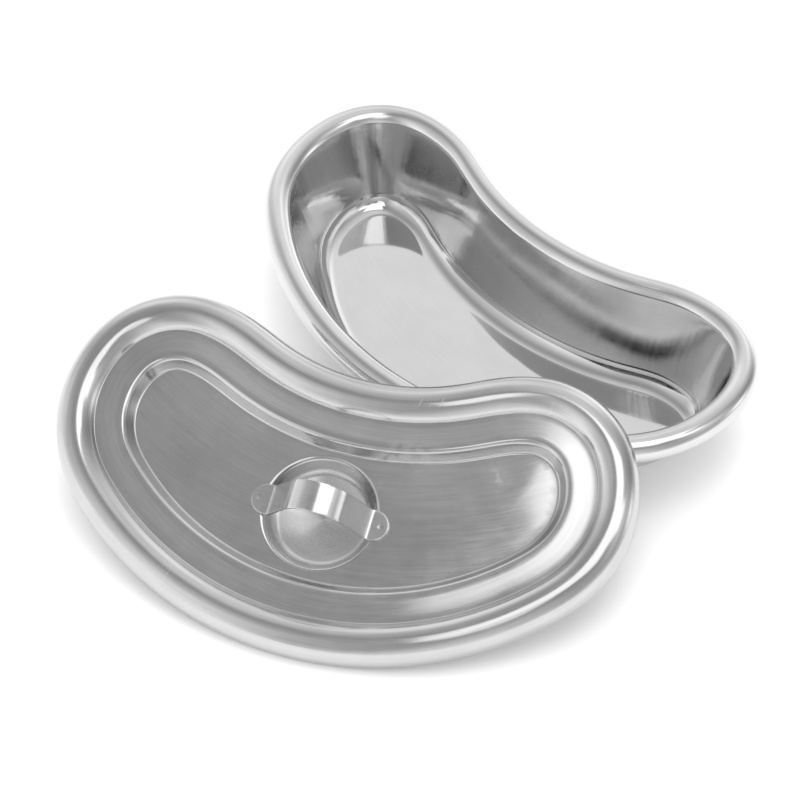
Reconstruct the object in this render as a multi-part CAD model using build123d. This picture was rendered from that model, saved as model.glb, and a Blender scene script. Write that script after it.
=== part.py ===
from build123d import *
import os
from math import acos, asin, cos, degrees, radians, sin

# Kidney dish with its lid, as pressed steel sheet. Millimetres, +Z up.
# The origin is the centre of the dish's flat base. The dish's long axis is X and its hollow
# (concave) side faces +Y. The lid stands off the dish: its near edge on the table and its far
# edge leaning on the dish's rim.

# ---------------------------------------------------------------- driving dimensions
SHEET = 0.8                   # steel sheet of the dish and the lid

HALF_LENGTH = 125.0           # middle of the outline to its end

# Kidney outline, right half: convex tangent arcs as (radius, heading in degrees where it ends).
# The heading is 0 at the middle of the bulging side and turns left. One more arc, the hollow
# side, closes the half on the Y axis.
DISH_ARCS = [(150.7, 44.1), (66.2, 104.1), (40.3, 173.9), (67.1, 205.35)]
LID_ARCS = [(149.8, 46.0), (60.7, 115.3), (45.8, 191.2), (89.9, 206.5)]

# Dish
DISH_HEIGHT = 45.5
RIM_RADIUS = 6.2              # rolled rim, outside; the dish outline runs round its outside
RIM_ROLL = 290.0              # degrees that the sheet rolls over
WALL_SLOPE = 72.5             # degrees from the floor
FLOOR_FILLET = 10.0           # sheet centre line
DISH_PLATE = -34.0            # outline offset where the swept wall meets the floor plate

# Lid: heights from the skirt's lower edge, offsets from the lid outline
SKIRT_OFFSET = 1.8            # outside of the skirt
RIDGE_HEIGHT = 13.4
RIDGE_RADIUS = 9.3            # outside of the rounded ridge
SHELF_HEIGHT = 9.2
PANEL_HEIGHT = 4.5
STEP_OFFSET = -27.3           # where the step down to the panel starts
STEP_SLOPE = 55.0
STEP_BEND = 1.8               # sheet centre line, at both ends of the step
CREASE_BEND = 0.9             # sheet centre line, at the foot of the ridge
LID_PLATE = -33.0             # outline offset where the swept part meets the panel plate

# Finger well, in the lid's own frame
WELL_CENTRE = (-2.9, -8.8)
WELL_OPENING = 25.8           # radius where the panel starts to bend down
WELL_LIP = 2.0                # sheet centre line
WELL_SLOPE = 68.0
WELL_WALL = 4.2
WELL_FILLET = 5.5             # sheet centre line
WELL_DISHING = 80.0           # radius of the dished bottom, sheet centre line

# Strap handle, in the lid's own frame, centred over the well
STRAP_SHEET = 1.1
STRAP_WIDTH = 13.4
STRAP_FOOT_END = 30.2         # middle of the strap to the end of a foot
STRAP_HEIGHT = 23.0           # top of the arch above the panel
STRAP_SLOPE = 59.0
STRAP_FOOT_BEND = 2.0         # sheet centre line
STRAP_ARCH = 14.2             # sheet centre line

# Spot welds
WELD_REACH = 26.6             # middle of the strap to a weld
WELD_RADIUS = 1.6
WELD_DIMPLE = 0.25            # depth of the electrode's mark in the foot
WELD_SKIN = 0.15              # sheet left whole under the nugget

# Where the lid's frame stands: turned about Z, then tilted about its own X, then its own Y
LID_PLACE = (22.7, -115.3, 26.32)
LID_TURN = 25.5
LID_TILT = 21.44
LID_ROLL = 0.21


# ---------------------------------------------------------------- kidney outline
def kidney_arcs(half_length, arcs):
    """The outline's right half as (centre x, centre y, radius, start, end, side), headings in radians.

    side is 1 on the convex arcs and -1 on the hollow one. The outline is scaled to half_length and
    centred on Y = 0 between its lowest and highest points.
    """
    found = []
    point, start = Vector(0, 0), 0.0
    for radius, end_degrees in arcs:
        end = radians(end_degrees)
        centre = point + radius * Vector(-sin(start), cos(start))
        found.append((centre.X, centre.Y, radius, start, end, 1))
        point = centre + radius * Vector(sin(end), -cos(end))
        start = end
    hollow = -point.X / sin(start)
    centre = point + hollow * Vector(sin(start), -cos(start))
    found.append((centre.X, centre.Y, hollow, start, radians(180), -1))
    reach = max(x + r for x, y, r, a, b, side in found if a <= radians(90) <= b)
    top = max(y + r for x, y, r, a, b, side in found if side > 0 and a <= radians(180) <= b)
    scale = half_length / reach
    return [(x * scale, (y - top / 2) * scale, r * scale, a, b, side) for x, y, r, a, b, side in found]


def outline_point(arc, heading, offset):
    x, y, radius, start, end, side = arc
    reach = side * radius + offset
    return Vector(x + reach * sin(heading), y - reach * cos(heading))


def outline_face(arcs, offset):
    """Flat face inside the outline moved outwards by offset."""
    edges = []
    for arc in arcs:
        start, end = arc[3], arc[4]
        points = [outline_point(arc, h, offset) for h in (start, (start + end) / 2, end)]
        edges.append(ThreePointArc(*points))
        edges.append(ThreePointArc(*[Vector(-p.X, p.Y) for p in points]))
    return make_face(edges)


# ---------------------------------------------------------------- bent sheet
def strip_stations(start, heading, moves):
    """Stations (x, y, heading) of a bent strip's centre line, three for each move.

    A move is ("line", length) or ("bend", radius, degrees), with left bends positive.
    """
    x, y, angle = start[0], start[1], radians(heading)
    chain = []
    for move in moves:
        if move[0] == "line":
            stops = [(x + move[1] * t * cos(angle), y + move[1] * t * sin(angle), angle) for t in (0, 0.5, 1)]
        else:
            turn = radians(move[2])
            side = 1 if turn > 0 else -1
            centre_x = x - side * move[1] * sin(angle)
            centre_y = y + side * move[1] * cos(angle)
            stops = []
            for t in (0, 0.5, 1):
                here = angle + turn * t
                stops.append((centre_x + side * move[1] * sin(here), centre_y - side * move[1] * cos(here), here))
        x, y, angle = stops[2]
        chain.append((move[0], stops))
    return chain


def strip_face(start, heading, moves, thickness):
    """Cross-section of sheet bent along the moves, as a face in the XY plane."""
    chain = strip_stations(start, heading, moves)
    edges = []
    for side in (thickness / 2, -thickness / 2):
        for kind, stops in chain:
            points = [(x - side * sin(a), y + side * cos(a)) for x, y, a in stops]
            edges.append(Line(points[0], points[2]) if kind == "line" else ThreePointArc(*points))
    for x, y, a in (chain[0][1][0], chain[-1][1][2]):
        shift = thickness / 2
        edges.append(Line((x - shift * sin(a), y + shift * cos(a)), (x + shift * sin(a), y - shift * cos(a))))
    return make_face(edges)


def sweep_round(arcs, section):
    """Solid of a section (x = offset from the outline, y = height) carried round the outline."""
    halves = []
    for arc in arcs:
        x, y, radius, start, end, side = arc
        origin = outline_point(arc, start, 0)
        plane = Plane(origin=(origin.X, origin.Y, 0), x_dir=(sin(start), -cos(start), 0),
                      z_dir=(-cos(start), -sin(start), 0))
        axis = Axis((x, y, 0), (0, 0, side))
        halves.append(revolve(plane * section, axis=axis, revolution_arc=degrees(abs(end - start))))
    half = halves[0].fuse(*halves[1:])
    return half.fuse(mirror(half, about=Plane.YZ))


# ---------------------------------------------------------------- dish
def bowl():
    half = SHEET / 2
    roll = RIM_RADIUS - half
    slope = radians(WALL_SLOPE)
    wall_top_x = -RIM_RADIUS - roll * sin(slope)
    wall_top_y = DISH_HEIGHT - RIM_RADIUS + roll * cos(slope)
    wall = (wall_top_y - half - FLOOR_FILLET * (1 - cos(slope))) / sin(slope)
    fillet_x = wall_top_x - wall * cos(slope) - FLOOR_FILLET * sin(slope)
    moves = [("line", fillet_x - DISH_PLATE), ("bend", FLOOR_FILLET, WALL_SLOPE), ("line", wall),
             ("bend", roll, -RIM_ROLL)]
    arcs = kidney_arcs(HALF_LENGTH, DISH_ARCS)
    floor_plate = extrude(outline_face(arcs, DISH_PLATE), SHEET)
    return sweep_round(arcs, strip_face((DISH_PLATE, half), 0, moves, SHEET)).fuse(floor_plate)


# ---------------------------------------------------------------- lid, in its own frame
def well_section():
    """Half section of the finger well, from the panel in to its axis."""
    slope = radians(WELL_SLOPE)
    wall_end = WELL_OPENING - WELL_LIP * sin(slope) - WELL_WALL * cos(slope)
    edge = degrees(asin((wall_end - WELL_FILLET * sin(slope)) / (WELL_DISHING - WELL_FILLET)))
    moves = [("bend", WELL_LIP, WELL_SLOPE), ("line", WELL_WALL), ("bend", WELL_FILLET, edge - WELL_SLOPE),
             ("bend", WELL_DISHING, -edge)]
    return strip_face((WELL_OPENING, PANEL_HEIGHT - SHEET / 2), 180, moves, SHEET)


def lid_section():
    """Section of the lid from the skirt's lower edge, over the ridge and the step, to the panel."""
    half = SHEET / 2
    ridge = RIDGE_RADIUS - half
    fall = acos(1 - (RIDGE_HEIGHT - SHELF_HEIGHT) / (ridge + CREASE_BEND))
    shelf_x = SKIRT_OFFSET - RIDGE_RADIUS - (ridge + CREASE_BEND) * sin(fall)
    slope = radians(STEP_SLOPE)
    step = (SHELF_HEIGHT - PANEL_HEIGHT - 2 * STEP_BEND * (1 - cos(slope))) / sin(slope)
    panel_x = STEP_OFFSET - 2 * STEP_BEND * sin(slope) - step * cos(slope)
    moves = [("line", RIDGE_HEIGHT - RIDGE_RADIUS), ("bend", ridge, 90 + degrees(fall)),
             ("bend", CREASE_BEND, -degrees(fall)), ("line", shelf_x - STEP_OFFSET),
             ("bend", STEP_BEND, STEP_SLOPE), ("line", step), ("bend", STEP_BEND, -STEP_SLOPE),
             ("line", panel_x - LID_PLATE)]
    return strip_face((SKIRT_OFFSET - half, 0), 90, moves, SHEET)


def weld_places():
    return {"spot_weld_left": WELL_CENTRE[0] - WELD_REACH, "spot_weld_right": WELL_CENTRE[0] + WELD_REACH}


def weld_nugget(x, top):
    """Upright cylinder of weld metal at x, from inside the panel's sheet up to top above the panel."""
    height = SHEET - WELD_SKIN + top
    return Pos(x, WELL_CENTRE[1], PANEL_HEIGHT + top - height / 2) * Cylinder(WELD_RADIUS, height)


def lid():
    arcs = kidney_arcs(HALF_LENGTH, LID_ARCS)
    panel_plate = Pos(0, 0, PANEL_HEIGHT - SHEET) * extrude(outline_face(arcs, LID_PLATE), SHEET)
    sheet = sweep_round(arcs, lid_section()).fuse(panel_plate)
    sheet -= Pos(*WELL_CENTRE, PANEL_HEIGHT) * Cylinder(WELL_OPENING, 4 * SHEET)
    upright = Plane(origin=(*WELL_CENTRE, 0), x_dir=(1, 0, 0), z_dir=(0, -1, 0))
    well = revolve(upright * well_section(), axis=Axis((*WELL_CENTRE, 0), (0, 0, 1)))
    sheet = sheet.fuse(well)
    for x in weld_places().values():
        sheet -= weld_nugget(x, STRAP_SHEET)
    return sheet


def strap():
    half = STRAP_SHEET / 2
    slope = radians(STRAP_SLOPE)
    rise = STRAP_HEIGHT - STRAP_SHEET - (STRAP_FOOT_BEND + STRAP_ARCH) * (1 - cos(slope))
    leg = rise / sin(slope)
    half_span = (STRAP_FOOT_BEND + STRAP_ARCH) * sin(slope) + leg * cos(slope)
    foot = STRAP_FOOT_END - half_span
    moves = [("line", foot), ("bend", STRAP_FOOT_BEND, STRAP_SLOPE), ("line", leg),
             ("bend", STRAP_ARCH, -2 * STRAP_SLOPE), ("line", leg), ("bend", STRAP_FOOT_BEND, STRAP_SLOPE),
             ("line", foot)]
    x, y = WELL_CENTRE
    face = strip_face((x - STRAP_FOOT_END, PANEL_HEIGHT + half), 0, moves, STRAP_SHEET)
    upright = Plane(origin=(0, y, 0), x_dir=(1, 0, 0), z_dir=(0, -1, 0))
    strip = extrude(upright * face, STRAP_WIDTH / 2, both=True)
    stadium = SlotOverall(2 * STRAP_FOOT_END, STRAP_WIDTH)
    strip &= Pos(x, y, 0) * extrude(stadium, PANEL_HEIGHT + 2 * STRAP_HEIGHT)
    for weld_x in weld_places().values():
        strip -= weld_nugget(weld_x, STRAP_SHEET)
    return strip


# ---------------------------------------------------------------- nodes
def nodes():
    stand = Pos(*LID_PLACE) * Rot(0, 0, LID_TURN) * Rot(LID_TILT, 0, 0) * Rot(0, LID_ROLL, 0)
    made = {"bowl": bowl(), "lid": stand * lid(), "lid_handle": stand * strap()}
    for name, x in weld_places().items():
        made[name] = stand * weld_nugget(x, STRAP_SHEET - WELD_DIMPLE)
    return made


os.makedirs("parts", exist_ok=True)
for node_name, shape in nodes().items():
    export_step(shape, f"parts/{node_name}.step")
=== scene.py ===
from math import acos, asin, cos, degrees, hypot, pi, radians, sin

import bpy
import numpy as np
from mathutils import Matrix, Vector
from mathutils.geometry import delaunay_2d_cdt


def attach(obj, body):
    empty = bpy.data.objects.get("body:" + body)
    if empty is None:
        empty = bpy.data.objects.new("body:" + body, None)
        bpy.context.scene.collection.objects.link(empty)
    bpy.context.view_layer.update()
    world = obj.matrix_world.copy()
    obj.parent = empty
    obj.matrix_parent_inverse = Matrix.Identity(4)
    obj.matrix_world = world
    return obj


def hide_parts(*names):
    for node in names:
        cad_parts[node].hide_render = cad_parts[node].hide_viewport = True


# Kidney dish with its lid leaning on it: dense smooth meshes of the pressed sheets, in place of
# the CAD nodes, with procedural steel and a plain white studio. Lengths are millimetres until a
# mesh is made, in the CAD's own frame.

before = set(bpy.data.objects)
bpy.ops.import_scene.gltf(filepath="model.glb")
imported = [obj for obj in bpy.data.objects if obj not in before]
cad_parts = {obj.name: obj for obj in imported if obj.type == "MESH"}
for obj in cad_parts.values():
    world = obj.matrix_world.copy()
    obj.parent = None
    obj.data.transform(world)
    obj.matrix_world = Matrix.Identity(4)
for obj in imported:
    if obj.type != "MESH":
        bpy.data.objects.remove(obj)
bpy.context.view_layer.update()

MM = 0.001

# ---------------------------------------------------------------- dimensions, as in the CAD
SHEET = 0.8
HALF_LENGTH = 125.0
DISH_ARCS = [(150.7, 44.1), (66.2, 104.1), (40.3, 173.9), (67.1, 205.35)]
LID_ARCS = [(149.8, 46.0), (60.7, 115.3), (45.8, 191.2), (89.9, 206.5)]

DISH_HEIGHT = 45.5
RIM_RADIUS = 6.2
RIM_ROLL = 290.0
WALL_SLOPE = 72.5
FLOOR_FILLET = 10.0
DISH_PLATE = -34.0

SKIRT_OFFSET = 1.8
RIDGE_HEIGHT = 13.4
RIDGE_RADIUS = 9.3
SHELF_HEIGHT = 9.2
PANEL_HEIGHT = 4.5
STEP_OFFSET = -27.3
STEP_SLOPE = 55.0
STEP_BEND = 1.8
CREASE_BEND = 0.9
LID_PLATE = -33.0
SHELF_FALL = 0.9              # how far the shelf falls from the step to the ridge
PANEL_FALL = 0.75             # how far the crowned panel falls to its edge
PANEL_CROWN = 35.0            # width of the band over which it falls

WELL_CENTRE = (-2.9, -8.8)
WELL_OPENING = 25.8
WELL_LIP = 2.0
WELL_SLOPE = 68.0
WELL_WALL = 4.2
WELL_FILLET = 5.5
WELL_DISHING = 80.0

STRAP_SHEET = 1.1
STRAP_WIDTH = 13.4
STRAP_FOOT_END = 30.2
STRAP_HEIGHT = 23.0
STRAP_SLOPE = 59.0
STRAP_FOOT_BEND = 2.0
STRAP_ARCH = 14.2

WELD_REACH = 26.6
WELD_RADIUS = 1.6
WELD_DIMPLE = 0.1
WELD_SKIN = 0.15

LID_PLACE = (22.7, -115.3, 26.32)
LID_TURN = 25.5
LID_TILT = 21.44
LID_ROLL = 0.21

# ---------------------------------------------------------------- mesh fineness
OUTLINE_COUNT = 480           # stations round an outline
OUTLINE_EASE = 6              # stations over which a change of curvature is eased
OUTLINE_SLACK = 0.08          # how much shorter each half of an outline is than in the CAD
ROUND_COUNT = 144             # stations round the finger well
WELD_COUNT = 32               # stations round a spot weld
WELD_STEPS = 8                # rings across the electrode's mark
WELD_RUN = 0.2                # brushing run between a spot weld's stations
FOOT_COUNT = 24               # stations round a strap foot's end
BEND_STEP = 5.0               # degrees
LINE_STEP = 3.0
PLATE_SPACING = 2.5           # between the points inside a flat plate
STRAP_SPACING = 0.8
STRAP_CORNER = 0.35           # rounding of the strap's edges
STRAP_CORNER_STEPS = 5
GRAIN_STRETCH = 40.0          # length of a brush mark over its width


# ---------------------------------------------------------------- camera
CAMERA_AZIMUTH = -47.21
CAMERA_ELEVATION = 49.98
CAMERA_DISTANCE = 1595.55
CAMERA_TARGET = (-0.1, -49.67, 15.0)
CAMERA_LENS = 164.87


def place_camera():
    data = bpy.data.cameras.new("camera")
    data.lens = CAMERA_LENS
    data.sensor_width = 36
    data.clip_start = 0.1
    data.clip_end = 50
    camera = bpy.data.objects.new("camera", data)
    bpy.context.collection.objects.link(camera)
    azimuth, elevation = radians(CAMERA_AZIMUTH), radians(CAMERA_ELEVATION)
    out = Vector((cos(elevation) * cos(azimuth), cos(elevation) * sin(azimuth), sin(elevation)))
    camera.location = (Vector(CAMERA_TARGET) + CAMERA_DISTANCE * out) * MM
    camera.rotation_euler = out.to_track_quat("Z", "Y").to_euler()
    bpy.context.scene.camera = camera


# ---------------------------------------------------------------- kidney outline
def kidney_arcs(half_length, arcs):
    """The outline's right half as (centre x, centre y, radius, start, end, side), as in the CAD."""
    found = []
    point, start = Vector((0, 0)), 0.0
    for radius, end_degrees in arcs:
        end = radians(end_degrees)
        centre = point + radius * Vector((-sin(start), cos(start)))
        found.append((centre.x, centre.y, radius, start, end, 1))
        point = centre + radius * Vector((sin(end), -cos(end)))
        start = end
    hollow = -point.x / sin(start)
    centre = point + hollow * Vector((sin(start), -cos(start)))
    found.append((centre.x, centre.y, hollow, start, pi, -1))
    reach = max(x + r for x, y, r, a, b, side in found if a <= pi / 2 <= b)
    top = max(y + r for x, y, r, a, b, side in found if side > 0 and a <= pi <= b)
    scale = half_length / reach
    return [(x * scale, (y - top / 2) * scale, r * scale, a, b, side) for x, y, r, a, b, side in found]


def eased(values, reach):
    """A closed row of values, averaged over reach neighbours each way."""
    return sum(np.roll(values, k, axis=0) for k in range(-reach, reach + 1)) / (2 * reach + 1)


def kidney_outline(arcs):
    """The closed outline: even points, outward normals and the distance run, anticlockwise."""
    found = kidney_arcs(HALF_LENGTH - OUTLINE_SLACK, arcs)
    ends = np.cumsum([radius * abs(end - start) for x, y, radius, start, end, side in found])
    half_run = ends[-1]
    points = []
    for station in range(OUTLINE_COUNT):
        run = 2 * half_run * station / OUTLINE_COUNT
        mirror = -1 if run > half_run else 1
        run = min(run, 2 * half_run - run)
        which = min(np.searchsorted(ends, run), len(found) - 1)
        x, y, radius, start, end, side = found[which]
        heading = end - (ends[which] - run) / radius * (1 if end > start else -1)
        points.append((mirror * (x + side * radius * sin(heading)), y - side * radius * cos(heading)))
    points = np.array(points)
    soft = eased(eased(points, OUTLINE_EASE), OUTLINE_EASE)
    points = 2 * soft - eased(eased(soft, OUTLINE_EASE), OUTLINE_EASE)
    tangent = np.roll(points, -1, axis=0) - np.roll(points, 1, axis=0)
    tangent /= np.linalg.norm(tangent, axis=1)[:, None]
    normals = np.stack([tangent[:, 1], -tangent[:, 0]], axis=1)
    return points, normals, 2 * half_run


# ---------------------------------------------------------------- bent sheet sections
def bent_line(start, heading, moves):
    """Close stations (x, y, heading) along a bent strip's centre line, as in the CAD."""
    x, y, angle = start[0], start[1], radians(heading)
    stations = [(x, y, angle)]
    for move in moves:
        if move[0] == "line":
            steps = max(2, round(move[1] / LINE_STEP))
            for k in range(1, steps + 1):
                along = move[1] * k / steps
                stations.append((x + along * cos(angle), y + along * sin(angle), angle))
        else:
            turn = radians(move[2])
            side = 1 if turn > 0 else -1
            centre_x = x - side * move[1] * sin(angle)
            centre_y = y + side * move[1] * cos(angle)
            steps = max(3, round(abs(move[2]) / BEND_STEP))
            for k in range(1, steps + 1):
                here = angle + turn * k / steps
                reach = side * move[1]
                stations.append((centre_x + reach * sin(here), centre_y - reach * cos(here), here))
        x, y, angle = stations[-1]
    return stations


def skins(stations, thickness, edge_steps=5):
    """The sheet's outline in section: out along its left skin, round its free edge, back on its right."""
    half = thickness / 2
    left = [(x - half * sin(a), y + half * cos(a)) for x, y, a in stations]
    right = [(x + half * sin(a), y - half * cos(a)) for x, y, a in stations]
    x, y, a = stations[-1]
    corner = 0.6 * half
    edge = []
    for side in (1, -1):
        quarter = []
        for k in range(edge_steps + 1):
            t = pi / 2 * k / edge_steps
            across = side * (half - corner + corner * cos(t))
            along = -corner + corner * sin(t)
            quarter.append((x + along * cos(a) - across * sin(a), y + along * sin(a) + across * cos(a)))
        edge += quarter if side > 0 else quarter[::-1]
    return left[:-1], edge, right[-2::-1]


# ---------------------------------------------------------------- meshes
class Shell:
    """A mesh in the making: points, faces, and each face corner's place in the brushing.

    A corner's place is (run, across): the distance along the brush marks and across them. Marks
    that close on themselves have a lap, their whole length, and others have a lap of 0.
    """

    def __init__(self):
        self.points = []
        self.faces = []
        self.runs = []
        self.laps = []

    def add(self, points):
        first = len(self.points)
        self.points += [tuple(p) for p in points]
        return range(first, len(self.points))

    def face(self, corners, runs, lap=0.0):
        self.faces.append(corners)
        self.runs.append(runs)
        self.laps.append(lap)

    def grid(self, rows, row_runs, across):
        """Quads between closed rows of points. row_runs is each column's run, across each row's."""
        count = len(rows[0])
        for i in range(len(rows) - 1):
            for j in range(count):
                k = (j + 1) % count
                corners = (rows[i][j], rows[i + 1][j], rows[i + 1][k], rows[i][k])
                runs = ((row_runs[j], across[i]), (row_runs[j], across[i + 1]),
                        (row_runs[j + 1], across[i + 1]), (row_runs[j + 1], across[i]))
                self.face(corners, runs, row_runs[-1])

    def grain(self):
        """Each corner's place in the brushing as a vector with no seam, its run shortened."""
        flat = []
        for runs, lap in zip(self.runs, self.laps):
            for run, across in runs:
                if lap:
                    radius, turn = lap / (2 * pi * GRAIN_STRETCH), 2 * pi * run / lap
                    spot = (radius * cos(turn), radius * sin(turn), across)
                else:
                    spot = (run / GRAIN_STRETCH, 0.0, across)
                flat += [c * MM for c in spot]
        return flat

    def object(self, name, place=None):
        mesh = bpy.data.meshes.new(name)
        points = np.array(self.points) * MM
        mesh.from_pydata(points.tolist(), [], self.faces)
        uv = mesh.uv_layers.new(name="brush")
        uv.data.foreach_set("uv", [c * MM for runs in self.runs for run in runs for c in run])
        grain = mesh.attributes.new("grain", "FLOAT_VECTOR", "CORNER")
        grain.data.foreach_set("vector", self.grain())
        if place is not None:
            mesh.transform(place)
        mesh.polygons.foreach_set("use_smooth", [True] * len(mesh.polygons))
        mesh.update()
        made = bpy.data.objects.new(name, mesh)
        bpy.context.collection.objects.link(made)
        return made


def carried_round(shell, outline, section):
    """Rows of points: each section point (offset, height) carried round the outline."""
    points, normals, _ = outline
    rows = []
    for offset, height in section:
        ring = points + normals * offset
        rows.append(shell.add([(x, y, height) for x, y in ring]))
    return rows


def section_lengths(section):
    """Distance run along a section's points."""
    lengths = [0.0]
    for (ax, ay), (bx, by) in zip(section, section[1:]):
        lengths.append(lengths[-1] + hypot(bx - ax, by - ay))
    return lengths


def inside(points, loop):
    """Which points lie inside a closed loop."""
    x, y = points[:, 0], points[:, 1]
    found = np.zeros(len(points), dtype=bool)
    for (ax, ay), (bx, by) in zip(loop, np.roll(loop, -1, axis=0)):
        crosses = (ay > y) != (by > y)
        if ay != by:
            found ^= crosses & (x < (bx - ax) * (y - ay) / (by - ay) + ax)
    return found


def filled(shell, loops, height, spacing, facing_up, run_of):
    """A flat region between loops of (indices, points): the first loop is its outside, others are holes."""
    outer = loops[0][1]
    low, high = outer.min(axis=0), outer.max(axis=0)
    rise = spacing * sin(pi / 3)
    grid = []
    for j in range(1, int((high[1] - low[1]) / rise)):
        shift = spacing / 2 if j % 2 else 0.0
        for i in range(int((high[0] - low[0]) / spacing) + 1):
            grid.append((low[0] + i * spacing + shift, low[1] + j * rise))
    grid = np.array(grid)
    keep = inside(grid, outer)
    for _, loop in loops[1:]:
        keep &= ~inside(grid, loop)
    grid = grid[keep]
    for _, loop in loops:
        away = grid[:, None, :] - loop[None, :, :]
        near = np.min(np.hypot(away[..., 0], away[..., 1]), axis=1)
        grid = grid[near > 0.6 * spacing]
    indices = [k for loop_indices, _ in loops for k in loop_indices]
    flat = [Vector(p) for _, loop in loops for p in loop] + [Vector(p) for p in grid]
    edges = []
    first = 0
    for _, loop in loops:
        count = len(loop)
        edges += [(first + k, first + (k + 1) % count) for k in range(count)]
        first += count
    indices += list(shell.add([(x, y, height) for x, y in grid]))
    found, _, triangles, source, _, _ = delaunay_2d_cdt(flat, edges, [], 0, 1e-6)
    index_of = [indices[s[0]] for s in source]
    centres = np.array([[sum(found[k].x for k in t) / 3, sum(found[k].y for k in t) / 3] for t in triangles])
    keep = inside(centres, outer)
    for _, loop in loops[1:]:
        keep &= ~inside(centres, loop)
    for triangle, kept in zip(triangles, keep):
        if not kept:
            continue
        a, b, c = [found[k] for k in triangle]
        upward = (b - a).cross(c - a) > 0
        corners = list(triangle) if upward == facing_up else list(triangle)[::-1]
        shell.face([index_of[k] for k in corners], [run_of(found[k].x, found[k].y) for k in corners])


# ---------------------------------------------------------------- dish
def long_run(outline_arcs):
    """Brushing of a plate: along arcs about the centre of the hollow side."""
    x, y, radius, start, end, side = kidney_arcs(HALF_LENGTH, outline_arcs)[-1]

    def run_of(px, py):
        reach = hypot(px - x, py - y)
        return (radius * np.arctan2(px - x, y - py), reach)

    return run_of


def bowl_mesh():
    """The dish, with a point attribute "inside": 1 on the floor and wall inside it, 0 elsewhere."""
    half = SHEET / 2
    roll = RIM_RADIUS - half
    slope = radians(WALL_SLOPE)
    wall_top_x = -RIM_RADIUS - roll * sin(slope)
    wall_top_y = DISH_HEIGHT - RIM_RADIUS + roll * cos(slope)
    wall = (wall_top_y - half - FLOOR_FILLET * (1 - cos(slope))) / sin(slope)
    fillet_x = wall_top_x - wall * cos(slope) - FLOOR_FILLET * sin(slope)
    moves = [("line", fillet_x - DISH_PLATE), ("bend", FLOOR_FILLET, WALL_SLOPE), ("line", wall),
             ("bend", roll, -RIM_ROLL)]
    left, edge, right = skins(bent_line((DISH_PLATE, half), 0, moves), SHEET)
    section = left + edge + right
    outline = kidney_outline(DISH_ARCS)
    shell = Shell()
    rows = carried_round(shell, outline, section)
    runs = np.linspace(0, outline[2], OUTLINE_COUNT + 1)
    shell.grid(rows, runs, section_lengths(section))
    ring = outline[0] + outline[1] * DISH_PLATE
    run_of = long_run(DISH_ARCS)
    filled(shell, [(rows[0], ring)], SHEET, PLATE_SPACING, True, run_of)
    inner = len(shell.points)
    filled(shell, [(rows[-1], ring)], 0.0, PLATE_SPACING, False, run_of)
    made = shell.object("dish_bowl")
    within = np.zeros(len(shell.points))
    within[len(section) * OUTLINE_COUNT:inner] = 1.0
    for row, (offset, height) in zip(rows[:len(left)], left):
        within[row[0]:row[-1] + 1] = np.clip(wall_top_x + 1 - offset, 0, 1)
    attribute = made.data.attributes.new("inside", "FLOAT", "POINT")
    attribute.data.foreach_set("value", within)
    return made


# ---------------------------------------------------------------- lid
def lid_section():
    half = SHEET / 2
    ridge = RIDGE_RADIUS - half
    fall = acos(1 - (RIDGE_HEIGHT - SHELF_HEIGHT) / (ridge + CREASE_BEND))
    shelf_x = SKIRT_OFFSET - RIDGE_RADIUS - (ridge + CREASE_BEND) * sin(fall)
    slope = radians(STEP_SLOPE)
    step = (SHELF_HEIGHT - PANEL_HEIGHT - 2 * STEP_BEND * (1 - cos(slope))) / sin(slope)
    panel_x = STEP_OFFSET - 2 * STEP_BEND * sin(slope) - step * cos(slope)
    moves = [("line", panel_x - LID_PLATE), ("bend", STEP_BEND, STEP_SLOPE), ("line", step),
             ("bend", STEP_BEND, -STEP_SLOPE), ("line", shelf_x - STEP_OFFSET),
             ("bend", CREASE_BEND, degrees(fall)), ("bend", ridge, -90 - degrees(fall)),
             ("line", RIDGE_HEIGHT - RIDGE_RADIUS)]
    return bent_line((LID_PLATE, PANEL_HEIGHT - half), 0, moves)


def settled(offset, height):
    """A section point moved by the pressing's slack: the shelf falls outwards, the panel to its edge."""
    ridge_foot = SKIRT_OFFSET - 2 * RIDGE_RADIUS
    if offset > STEP_OFFSET:
        out = (offset - STEP_OFFSET) / (ridge_foot - STEP_OFFSET)
        back = min(max((SKIRT_OFFSET - RIDGE_RADIUS - offset) / RIDGE_RADIUS, 0.0), 1.0)
        return offset, height - SHELF_FALL * min(out, back * back * (3 - 2 * back))
    down = min((STEP_OFFSET - offset) / (STEP_OFFSET - LID_PLATE - 1.0), 1.0)
    return offset, height - PANEL_FALL * down


def crowned(shell, first, ring):
    """Lowers the points from first on by the panel's crown, by how near they are to its edge ring."""
    for k in range(first, len(shell.points)):
        x, y, z = shell.points[k]
        near = min(np.min(np.hypot(ring[:, 0] - x, ring[:, 1] - y)) / PANEL_CROWN, 1.0)
        shell.points[k] = (x, y, z - PANEL_FALL * (1 - near) ** 2)


def well_line():
    slope = radians(WELL_SLOPE)
    wall_end = WELL_OPENING - WELL_LIP * sin(slope) - WELL_WALL * cos(slope)
    edge = degrees(asin((wall_end - WELL_FILLET * sin(slope)) / (WELL_DISHING - WELL_FILLET)))
    moves = [("bend", WELL_LIP, WELL_SLOPE), ("line", WELL_WALL), ("bend", WELL_FILLET, edge - WELL_SLOPE),
             ("bend", WELL_DISHING, -edge)]
    return bent_line((WELL_OPENING, PANEL_HEIGHT - SHEET / 2), 180, moves)


def round_ring(centre, radius, count):
    turns = [2 * pi * k / count for k in range(count)]
    return np.array([(centre[0] + radius * cos(t), centre[1] + radius * sin(t)) for t in turns])


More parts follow.
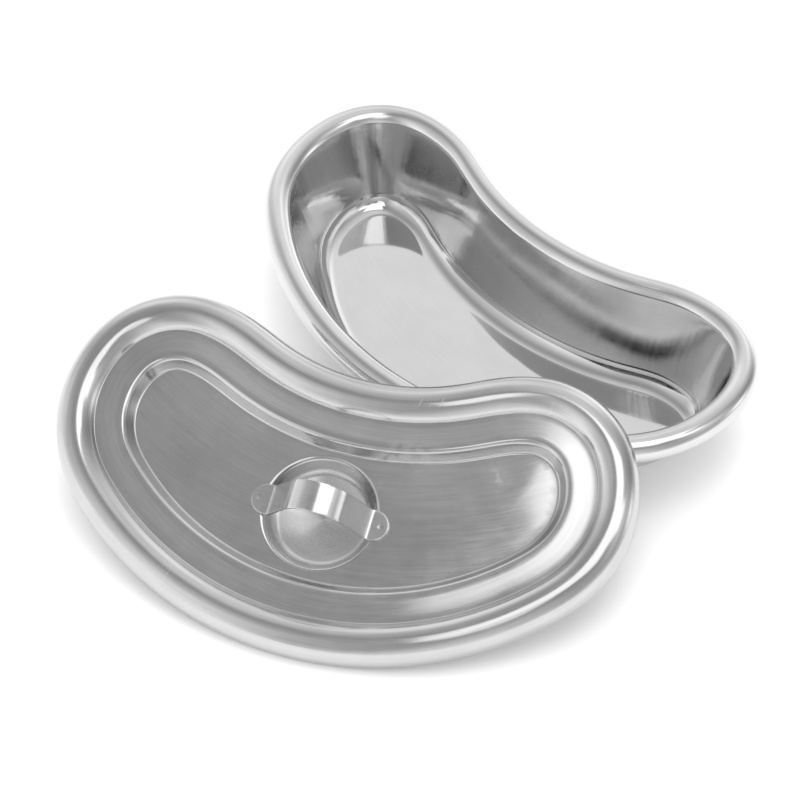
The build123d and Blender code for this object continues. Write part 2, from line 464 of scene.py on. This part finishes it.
def well_skin(shell, side):
    """One skin of the finger well. side is 1 for the upper skin, -1 for the lower."""
    half = SHEET / 2
    stations = well_line()
    skin = [(x + side * half * sin(a), y - side * half * cos(a)) for x, y, a in stations]
    rows = []
    for radius, height in skin[:-1]:
        ring = round_ring(WELL_CENTRE, radius, ROUND_COUNT)
        rows.append(shell.add([(x, y, height) for x, y in ring]))
    runs = np.linspace(0, 2 * pi * WELL_OPENING, ROUND_COUNT + 1)
    across = section_lengths(skin)
    for i in range(len(rows) - 1):
        for j in range(ROUND_COUNT):
            k = (j + 1) % ROUND_COUNT
            corners = [rows[i][j], rows[i][k], rows[i + 1][k], rows[i + 1][j]]
            spots = [(runs[j], across[i]), (runs[j + 1], across[i]), (runs[j + 1], across[i + 1]),
                     (runs[j], across[i + 1])]
            if side < 0:
                corners, spots = corners[::-1], spots[::-1]
            shell.face(corners, spots, runs[-1])
    pole = shell.add([(WELL_CENTRE[0], WELL_CENTRE[1], skin[-1][1])])[0]
    for j in range(ROUND_COUNT):
        k = (j + 1) % ROUND_COUNT
        corners = [rows[-1][j], rows[-1][k], pole]
        spots = [(runs[j], across[-2]), (runs[j + 1], across[-2]), ((runs[j] + runs[j + 1]) / 2, across[-1])]
        if side < 0:
            corners, spots = corners[::-1], spots[::-1]
        shell.face(corners, spots, runs[-1])
    return rows[0]


def lid_mesh(place):
    left, edge, right = skins(lid_section(), SHEET)
    section = [settled(*spot) for spot in left + edge + right]
    outline = kidney_outline(LID_ARCS)
    shell = Shell()
    rows = carried_round(shell, outline, section)
    swept = len(shell.points)
    runs = np.linspace(0, outline[2], OUTLINE_COUNT + 1)
    shell.grid(rows, runs, section_lengths(section))
    ring = outline[0] + outline[1] * LID_PLATE
    hole = round_ring(WELL_CENTRE, WELL_OPENING, ROUND_COUNT)
    run_of = long_run(LID_ARCS)
    upper = well_skin(shell, 1)
    lower = well_skin(shell, -1)
    filled(shell, [(rows[0], ring), (upper, hole)], PANEL_HEIGHT, PLATE_SPACING, True, run_of)
    filled(shell, [(rows[-1], ring), (lower, hole)], PANEL_HEIGHT - SHEET, PLATE_SPACING, False, run_of)
    crowned(shell, swept, ring)
    return shell.object("lid_sheet", place)


# ---------------------------------------------------------------- strap and welds
def strap_line():
    half = STRAP_SHEET / 2
    slope = radians(STRAP_SLOPE)
    rise = STRAP_HEIGHT - STRAP_SHEET - (STRAP_FOOT_BEND + STRAP_ARCH) * (1 - cos(slope))
    leg = rise / sin(slope)
    half_span = (STRAP_FOOT_BEND + STRAP_ARCH) * sin(slope) + leg * cos(slope)
    foot = STRAP_FOOT_END - half_span
    return [("line", foot), ("bend", STRAP_FOOT_BEND, STRAP_SLOPE), ("line", leg),
            ("bend", STRAP_ARCH, -2 * STRAP_SLOPE), ("line", leg), ("bend", STRAP_FOOT_BEND, STRAP_SLOPE),
            ("line", foot)]


def bent_at(moves, start, run):
    """Station (x, y, heading) at a distance run along moves that start level."""
    x, y, angle = start[0], start[1], 0.0
    for move in moves:
        length = move[1] if move[0] == "line" else move[1] * radians(abs(move[2]))
        part = min(run, length)
        if move[0] == "line":
            x, y = x + part * cos(angle), y + part * sin(angle)
        else:
            side = 1 if move[2] > 0 else -1
            centre_x = x - side * move[1] * sin(angle)
            centre_y = y + side * move[1] * cos(angle)
            angle += side * part / move[1]
            x, y = centre_x + side * move[1] * sin(angle), centre_y - side * move[1] * cos(angle)
        run -= part
        if run <= 0:
            break
    return x, y, angle


def stadium(length, radius, inset):
    """Points round a stadium from 0 to length, its outline moved in by inset."""
    r = radius - inset
    points = []
    straight = length - 2 * radius
    side_steps = round(straight)
    for k in range(side_steps):
        points.append((radius + straight * k / side_steps, -r))
    for k in range(FOOT_COUNT):
        t = -pi / 2 + pi * k / FOOT_COUNT
        points.append((length - radius + r * cos(t), r * sin(t)))
    for k in range(side_steps):
        points.append((length - radius - straight * k / side_steps, r))
    for k in range(FOOT_COUNT):
        t = pi / 2 + pi * k / FOOT_COUNT
        points.append((radius + r * cos(t), r * sin(t)))
    return np.array(points)


def strap_mesh(place):
    """The strap, made flat with a hole for each weld and then bent along its line."""
    moves = strap_line()
    length = sum(m[1] if m[0] == "line" else m[1] * radians(abs(m[2])) for m in moves)
    half = STRAP_SHEET / 2
    radius = STRAP_WIDTH / 2
    shell = Shell()
    weld_runs = (STRAP_FOOT_END - WELD_REACH, length - STRAP_FOOT_END + WELD_REACH)
    rings = []
    for side in (1, -1):
        for k in range(STRAP_CORNER_STEPS + 1):
            t = pi / 2 * (k if side < 0 else STRAP_CORNER_STEPS - k) / STRAP_CORNER_STEPS
            inset = STRAP_CORNER * (1 - cos(t))
            level = side * (half - STRAP_CORNER + STRAP_CORNER * sin(t))
            rings.append((inset, level))
    loops = [stadium(length, radius, inset) for inset, level in rings]
    rows = [shell.add([(x, y, level) for x, y in loop]) for (inset, level), loop in zip(rings, loops)]
    count = len(loops[0])
    for i in range(len(rows) - 1):
        for j in range(count):
            k = (j + 1) % count
            corners = (rows[i][j], rows[i + 1][j], rows[i + 1][k], rows[i][k])
            shell.face(corners, [tuple(loops[0][c]) for c in (j, j, k, k)])
    holes = []
    for level in (half, -half):
        holes.append([])
        for run in weld_runs:
            ring = round_ring((run, 0.0), WELD_RADIUS, WELD_COUNT)
            holes[-1].append((shell.add([(x, y, level) for x, y in ring]), ring))
    for run in weld_runs:
        ring = round_ring((run, 0.0), WELD_RADIUS, WELD_COUNT)
        upper, lower = [shell.add([(x, y, level) for x, y in ring]) for level in (half, -half)]
        for j in range(WELD_COUNT):
            k = (j + 1) % WELD_COUNT
            shell.face((upper[j], lower[j], lower[k], upper[k])[::-1], [tuple(ring[c]) for c in (j, j, k, k)])

    def flat_run(x, y):
        return (x, y)

    filled(shell, [(rows[0], loops[0])] + holes[0], half, STRAP_SPACING, True, flat_run)
    filled(shell, [(rows[-1], loops[-1])] + holes[1], -half, STRAP_SPACING, False, flat_run)
    x0, y0 = WELL_CENTRE
    bent = []
    for run, across, level in shell.points:
        x, z, a = bent_at(moves, (x0 - STRAP_FOOT_END, PANEL_HEIGHT + half), run)
        bent.append((x - level * sin(a), y0 + across, z + level * cos(a)))
    shell.points = bent
    return shell.object("lid_strap", place)


def weld_mesh(name, x, place):
    """A spot weld's nugget, with the electrode's shallow dish in its top."""
    top = PANEL_HEIGHT + STRAP_SHEET
    bottom = PANEL_HEIGHT - SHEET + WELD_SKIN
    shell = Shell()
    profile = [(0.0, top - WELD_DIMPLE)]
    for k in range(1, WELD_STEPS + 1):
        t = k / WELD_STEPS
        profile.append((WELD_RADIUS * t, top - WELD_DIMPLE * (1 - t * t) ** 2))
    profile += [(WELD_RADIUS, top), (WELD_RADIUS, bottom), (WELD_RADIUS, bottom), (0.0, bottom)]
    centre = (x, WELL_CENTRE[1])
    rows = []
    for radius, height in profile[1:-1]:
        ring = round_ring(centre, radius, WELD_COUNT)
        rows.append(shell.add([(px, py, height) for px, py in ring]))
    poles = shell.add([(*centre, profile[0][1]), (*centre, profile[-1][1])])
    across = section_lengths(profile)
    for j in range(WELD_COUNT):
        k = (j + 1) % WELD_COUNT
        run, next_run = j * WELD_RUN, (j + 1) * WELD_RUN
        shell.face((poles[0], rows[0][j], rows[0][k]), [(0, 0), (run, across[1]), (next_run, across[1])])
        shell.face((poles[1], rows[-1][k], rows[-1][j]), [(0, 0), (next_run, 1), (run, 1)])
        for i in range(len(rows) - 1):
            if across[i + 1] == across[i + 2]:
                continue
            corners = (rows[i][j], rows[i + 1][j], rows[i + 1][k], rows[i][k])
            spots = ((run, across[i + 1]), (run, across[i + 2]), (next_run, across[i + 2]),
                     (next_run, across[i + 1]))
            shell.face(corners, spots)
    return shell.object(name, place)


# ---------------------------------------------------------------- materials
class Look:
    """A steel in the making: the node tree and short ways to add to it."""

    def __init__(self, name):
        self.material = bpy.data.materials.new(name)
        self.material.use_nodes = True
        self.tree = self.material.node_tree
        self.bsdf = self.tree.nodes["Principled BSDF"]
        self.bsdf.inputs["Metallic"].default_value = 1.0
        self.grain = self.add("ShaderNodeAttribute", attribute_name="grain").outputs["Vector"]
        self.place = self.add("ShaderNodeTexCoord").outputs["Object"]

    def add(self, kind, **settings):
        made = self.tree.nodes.new(kind)
        for key, value in settings.items():
            setattr(made, key, value)
        return made

    def feed(self, socket, value):
        if isinstance(value, bpy.types.NodeSocket):
            self.tree.links.new(value, socket)
        else:
            socket.default_value = value

    def noise(self, vector, size, detail, roughness, seed=0.0, stretch=(1, 1, 1)):
        """Noise with features of that size in mm, where stretch scales the vector first."""
        mapping = self.add("ShaderNodeMapping")
        self.feed(mapping.inputs["Vector"], vector)
        mapping.inputs["Scale"].default_value = stretch
        mapping.inputs["Location"].default_value = (seed, seed * 0.7, seed * 1.3)
        made = self.add("ShaderNodeTexNoise")
        self.feed(made.inputs["Vector"], mapping.outputs["Vector"])
        made.inputs["Scale"].default_value = 1 / (size * MM)
        made.inputs["Detail"].default_value = detail
        made.inputs["Roughness"].default_value = roughness
        return made.outputs["Fac"]

    def ranged(self, value, low, high, out_low, out_high):
        """value between low and high, as a value between out_low and out_high, eased."""
        made = self.add("ShaderNodeMapRange", interpolation_type="SMOOTHSTEP")
        for socket, number in zip(list(made.inputs)[:5], (value, low, high, out_low, out_high)):
            self.feed(socket, number)
        return made.outputs["Result"]

    def maths(self, operation, first, second):
        made = self.add("ShaderNodeMath", operation=operation)
        self.feed(made.inputs[0], first)
        self.feed(made.inputs[1], second)
        return made.outputs["Value"]

    def summed(self, *values):
        total = values[0]
        for value in values[1:]:
            total = self.maths("ADD", total, value)
        return total

    def patch(self, centre, reach, turn=0.0, clear=0.2):
        """1 inside an oval of those half widths about a point, in mm, fading to 0 at its edge."""
        mapping = self.add("ShaderNodeMapping", vector_type="TEXTURE")
        self.feed(mapping.inputs["Vector"], self.place)
        mapping.inputs["Location"].default_value = [c * MM for c in centre]
        mapping.inputs["Rotation"].default_value = (0, 0, radians(turn))
        mapping.inputs["Scale"].default_value = [c * MM for c in reach]
        length = self.add("ShaderNodeVectorMath", operation="LENGTH")
        self.feed(length.inputs[0], mapping.outputs["Vector"])
        return self.ranged(length.outputs["Value"], clear, 1, 1, 0)

    def scratches(self, turn, size, seed):
        """Thin straight scratches, turned in plan, as 1 on a ground of 0."""
        mapping = self.add("ShaderNodeMapping")
        self.feed(mapping.inputs["Vector"], self.place)
        mapping.inputs["Rotation"].default_value = (0, 0, radians(turn))
        lines = self.noise(mapping.outputs["Vector"], size, 2, 0.6, seed, (1, 0.06, 0.06))
        return self.ranged(lines, 0.56, 0.68, 0, 1)

    def grey(self, value):
        """Base colour of that grey."""
        made = self.add("ShaderNodeCombineColor")
        for socket in made.inputs[:3]:
            self.feed(socket, value)
        self.feed(self.bsdf.inputs["Base Color"], made.outputs["Color"])

    def bump(self, height):
        """Relief of that height in millimetres."""
        made = self.add("ShaderNodeBump")
        made.inputs["Distance"].default_value = MM
        self.feed(made.inputs["Height"], height)
        self.feed(self.bsdf.inputs["Normal"], made.outputs["Normal"])

    def mixed(self, factor, first, second):
        made = self.add("ShaderNodeMix")
        for socket, value in zip(list(made.inputs)[:1] + list(made.inputs)[2:4], (factor, first, second)):
            self.feed(socket, value)
        return made.outputs[0]

    def brushed(self, amount, turn=0.25):
        """Reflections drawn out across the brushing, or along the outline where turn is 0."""
        tangent = self.add("ShaderNodeTangent", direction_type="UV_MAP", uv_map="brush")
        self.feed(self.bsdf.inputs["Tangent"], tangent.outputs["Tangent"])
        self.feed(self.bsdf.inputs["Anisotropic"], amount)
        self.bsdf.inputs["Anisotropic Rotation"].default_value = turn


def polished_steel():
    """The dish: a near mirror on its floor, drawn up the wall, a little satin on the rim and outside."""
    look = Look("polished steel")
    inside = look.add("ShaderNodeAttribute", attribute_name="inside").outputs["Fac"]
    place = look.add("ShaderNodeSeparateXYZ")
    look.feed(place.inputs["Vector"], look.place)
    wall = look.maths("MULTIPLY", inside, look.ranged(place.outputs["Z"], 2 * MM, 10 * MM, 0, 1))
    fine = look.noise(look.grain, 0.5, 3, 0.6)
    cloud = look.noise(look.place, 22, 3, 0.55)
    draw = look.noise(look.grain, 6.0, 3, 0.55, 3.0, (GRAIN_STRETCH, GRAIN_STRETCH, 0.06))
    wave = look.noise(look.place, 16, 1, 0.5, 5.0)
    look.grey(look.summed(look.ranged(cloud, 0.3, 0.7, 0.63, 0.66),
                          look.ranged(fine, 0.3, 0.7, -0.012, 0.012)))
    rim = look.ranged(fine, 0.3, 0.7, 0.13, 0.18)
    mirror = look.ranged(cloud, 0.35, 0.7, 0.045, 0.06)
    drawn = look.ranged(draw, 0.35, 0.65, 0.12, 0.16)
    rough = look.mixed(inside, rim, look.mixed(wall, mirror, drawn))
    look.feed(look.bsdf.inputs["Roughness"], rough)
    look.brushed(look.maths("MULTIPLY", wall, 0.7), 0.0)
    streaks = look.maths("MULTIPLY", wall, look.ranged(draw, 0.2, 0.8, 0, 0.05))
    look.bump(look.summed(look.ranged(wave, 0.2, 0.8, 0, 0.02), streaks))
    return look.material


def satin_steel(well_centre):
    """The lid: brushed along its outline, duller in the well, with a dried smear and scuffs."""
    look = Look("satin steel")
    fine = look.noise(look.grain, 0.45, 3, 0.65)
    broad = look.noise(look.grain, 2.2, 2, 0.5, 2.0)
    cloud = look.noise(look.place, 26, 4, 0.6, 4.0)
    wave = look.noise(look.place, 22, 1, 0.5, 5.0)
    blotch = look.ranged(look.noise(look.place, 5, 4, 0.7, 7.0), 0.4, 0.6, 0, 1)
    smear = look.maths("MULTIPLY", look.summed(look.patch((39, -85, 43), (17, 9, 14), 35),
                                               look.patch((33, -104, 30), (9, 6, 9), 60),
                                               look.patch((72, -67, 38), (9, 5, 9), 10)), blotch)
    worn = look.maths("MULTIPLY", look.summed(look.patch((34, -66, 56), (13, 6, 9), 35),
                                              look.patch((76, -36, 59), (8, 5, 8), 30),
                                              look.patch((-6, -187, 20), (7, 5, 12), 20)),
                      look.scratches(-12, 0.5, 9.0))
    well = look.patch(well_centre, (26, 26, 26), 0, 0.85)
    look.grey(look.summed(look.ranged(cloud, 0.3, 0.7, 0.54, 0.58),
                          look.ranged(fine, 0.25, 0.75, -0.025, 0.025),
                          look.ranged(broad, 0.3, 0.7, -0.012, 0.012), look.maths("MULTIPLY", smear, 0.06),
                          look.maths("MULTIPLY", worn, 0.08), look.maths("MULTIPLY", well, 0.09)))
    rough = look.summed(look.ranged(cloud, 0.3, 0.75, 0.14, 0.19), look.ranged(fine, 0.3, 0.7, -0.02, 0.02),
                        look.maths("MULTIPLY", well, 0.12), look.maths("MULTIPLY", smear, 0.08),
                        look.maths("MULTIPLY", worn, 0.1))
    look.feed(look.bsdf.inputs["Roughness"], rough)
    look.brushed(0.6)
    look.bump(look.summed(look.ranged(wave, 0.2, 0.8, 0, 0.02), look.ranged(fine, 0.3, 0.7, 0, 0.0006)))
    return look.material


def bright_steel():
    """The strap: finely brushed along its length."""
    look = Look("bright steel")
    fine = look.noise(look.grain, 0.4, 3, 0.6)
    cloud = look.noise(look.place, 9, 3, 0.5)
    look.grey(look.summed(look.ranged(cloud, 0.3, 0.7, 0.61, 0.65), look.ranged(fine, 0.3, 0.7, -0.02, 0.02)))
    look.feed(look.bsdf.inputs["Roughness"], look.ranged(cloud, 0.3, 0.7, 0.15, 0.19))
    look.brushed(0.3)
    look.bump(look.summed(look.ranged(cloud, 0.2, 0.8, 0, 0.006), look.ranged(fine, 0.3, 0.7, 0, 0.0008)))
    return look.material


def weld_steel():
    """The spot welds: slightly burnt satin."""
    look = Look("weld steel")
    cloud = look.noise(look.place, 1.2, 3, 0.6)
    look.grey(look.ranged(cloud, 0.3, 0.7, 0.56, 0.6))
    look.feed(look.bsdf.inputs["Roughness"], look.ranged(cloud, 0.3, 0.7, 0.12, 0.2))
    look.bump(look.ranged(cloud, 0.2, 0.8, 0, 0.01))
    return look.material


# ---------------------------------------------------------------- studio
# Soft sources all round the dish as (azimuth, elevation, spread, radiance), in degrees. The
# azimuth runs clockwise, seen from above, from straight behind the dish as the camera sees it.
SOFT_SOURCES = [
    (30, 7, 15, 1.1),
    (90, 13, 7, 1.2),
    (180, 12, 14, 0.35),
    (240, 7, 15, 0.5),
    (270, 7, 15, 0.6),
    (300, 7, 15, 0.4),
    (123, 26, 15, 0.25),
    (165, 26, 15, 0.35),
    (231, 26, 15, 0.6),
    (290, 28, 10, 0.4),
    (339, 26, 15, 0.9),
    (25, 36, 8, 0.6),
    (0, 48, 15, 0.5),
    (45, 48, 15, 0.4),
    (225, 48, 15, 0.3),
    (270, 48, 15, 0.3),
    (105, 40, 10, 0.6),
    (80, 68, 10, 0.3),
    (15, 78, 11, 0.5),
]
BASE_LIGHT = 0.26
HORIZON = (12.0, 0.5)           # spread in degrees and radiance of the pale band at table height
# Soft boxes overhead, facing down: their span to the camera's right and towards it, in metres,
# and their radiance.
BOX_HEIGHT = 1.2
SOFT_BOXES = [
    ((-0.11, 0.62), (-0.05, 0.8), 1.4),
    ((-0.25, -0.11), (0.38, 1.1), 1.2),
    ((-0.14, 0.2), (0.8, 1.3), 0.9),
    ((0.62, 1.1), (0.25, 0.6), 1.3),
]
FILL = {"place": (-0.35, 0.2, 2.3), "size": 2.4, "watts": 33.0}      # not seen in reflections
FLOOR_REACH = 3.0
FLOOR_GLOW = 0.2


def source_direction(azimuth, elevation):
    turn = radians(180 + CAMERA_AZIMUTH - azimuth)
    rise = radians(elevation)
    return (cos(rise) * cos(turn), cos(rise) * sin(turn), sin(rise))


def world_light():
    """An even pale room with soft sources in it, each a smooth spot of light."""
    world = bpy.data.worlds.new("studio")
    bpy.context.scene.world = world
    world.use_nodes = True
    tree = world.node_tree
    looking = tree.nodes.new("ShaderNodeTexCoord").outputs["Generated"]

    def maths(operation, first, second=0.0):
        made = tree.nodes.new("ShaderNodeMath")
        made.operation = operation
        for socket, value in zip(made.inputs, (first, second)):
            if isinstance(value, bpy.types.NodeSocket):
                tree.links.new(value, socket)
            else:
                socket.default_value = value
        return made.outputs[0]

    total = BASE_LIGHT
    for azimuth, elevation, spread, radiance in SOFT_SOURCES:
        dot = tree.nodes.new("ShaderNodeVectorMath")
        dot.operation = "DOT_PRODUCT"
        tree.links.new(looking, dot.inputs[0])
        dot.inputs[1].default_value = source_direction(azimuth, elevation)
        away = maths("SUBTRACT", dot.outputs["Value"], 1.0)
        fall = maths("EXPONENT", maths("MULTIPLY", away, 1 / radians(spread) ** 2))
        total = maths("ADD", total, maths("MULTIPLY", fall, radiance))
    height = tree.nodes.new("ShaderNodeSeparateXYZ")
    tree.links.new(looking, height.inputs[0])
    rise = maths("DIVIDE", height.outputs["Z"], sin(radians(HORIZON[0])))
    fall = maths("EXPONENT", maths("MULTIPLY", maths("MULTIPLY", rise, rise), -1.0))
    total = maths("ADD", total, maths("MULTIPLY", fall, HORIZON[1]))
    background = tree.nodes["Background"]
    background.inputs["Color"].default_value = (1, 1, 1, 1)
    tree.links.new(total, background.inputs["Strength"])


def soft_box(name, across, towards, radiance):
    """A light facing down from over the dish, unseen by the camera itself."""
    turn = radians(CAMERA_AZIMUTH)
    near, right = Vector((cos(turn), sin(turn), 0)), Vector((-sin(turn), cos(turn), 0))
    data = bpy.data.lights.new(name, "AREA")
    data.shape = "RECTANGLE"
    data.size = across[1] - across[0]
    data.size_y = towards[1] - towards[0]
    data.energy = radiance * pi * data.size * data.size_y
    light = bpy.data.objects.new(name, data)
    bpy.context.collection.objects.link(light)
    light.location = sum(across) / 2 * right + sum(towards) / 2 * near + Vector((0, 0, BOX_HEIGHT))
    light.rotation_euler = (0, 0, turn + pi / 2)
    light.visible_camera = False


def fill_light():
    data = bpy.data.lights.new("fill", "AREA")
    data.size = FILL["size"]
    data.energy = FILL["watts"]
    fill = bpy.data.objects.new("fill", data)
    bpy.context.collection.objects.link(fill)
    fill.location = FILL["place"]
    fill.rotation_euler = Vector(FILL["place"]).to_track_quat("Z", "Y").to_euler()
    fill.visible_glossy = False
    fill.visible_camera = False


def white_floor():
    mesh = bpy.data.meshes.new("floor")
    corners = [(x * FLOOR_REACH, y * FLOOR_REACH, 0) for x, y in ((-1, -1), (1, -1), (1, 1), (-1, 1))]
    mesh.from_pydata(corners, [], [(0, 1, 2, 3)])
    floor = bpy.data.objects.new("floor", mesh)
    bpy.context.collection.objects.link(floor)
    material = bpy.data.materials.new("floor")
    material.use_nodes = True
    paint = material.node_tree.nodes["Principled BSDF"]
    paint.inputs["Base Color"].default_value = (0.9, 0.9, 0.9, 1)
    paint.inputs["Specular IOR Level"].default_value = 0.0
    paint.inputs["Emission Color"].default_value = (1, 1, 1, 1)
    paint.inputs["Emission Strength"].default_value = FLOOR_GLOW
    mesh.materials.append(material)


def studio():
    world_light()
    for k, (across, towards, radiance) in enumerate(SOFT_BOXES):
        soft_box(f"soft_box_{k}", across, towards, radiance)
    fill_light()
    white_floor()
    bpy.context.scene.view_settings.view_transform = "Standard"


# ---------------------------------------------------------------- assembly
place_camera()
studio()
stand = (Matrix.Translation(Vector(LID_PLACE) * MM) @ Matrix.Rotation(radians(LID_TURN), 4, "Z")
         @ Matrix.Rotation(radians(LID_TILT), 4, "X") @ Matrix.Rotation(radians(LID_ROLL), 4, "Y"))

bowl = bowl_mesh()
lid = lid_mesh(stand)
strap = strap_mesh(stand)
weld_left = weld_mesh("weld_left", WELL_CENTRE[0] - WELD_REACH, stand)
weld_right = weld_mesh("weld_right", WELL_CENTRE[0] + WELD_REACH, stand)

well_centre = stand @ (Vector((*WELL_CENTRE, 0)) * MM) / MM
polished, satin, bright, weld = polished_steel(), satin_steel(well_centre), bright_steel(), weld_steel()

for piece, node, body, slot, material in (
        (bowl, "bowl", "dish", "polished_steel", polished), (lid, "lid", "cover", "satin_steel", satin),
        (strap, "lid_handle", "cover", "bright_steel", bright),
        (weld_left, "spot_weld_left", "cover", "weld_steel", weld),
        (weld_right, "spot_weld_right", "cover", "weld_steel", weld)):
    piece.data.materials.append(material)
    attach(piece, body)
    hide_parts(node)
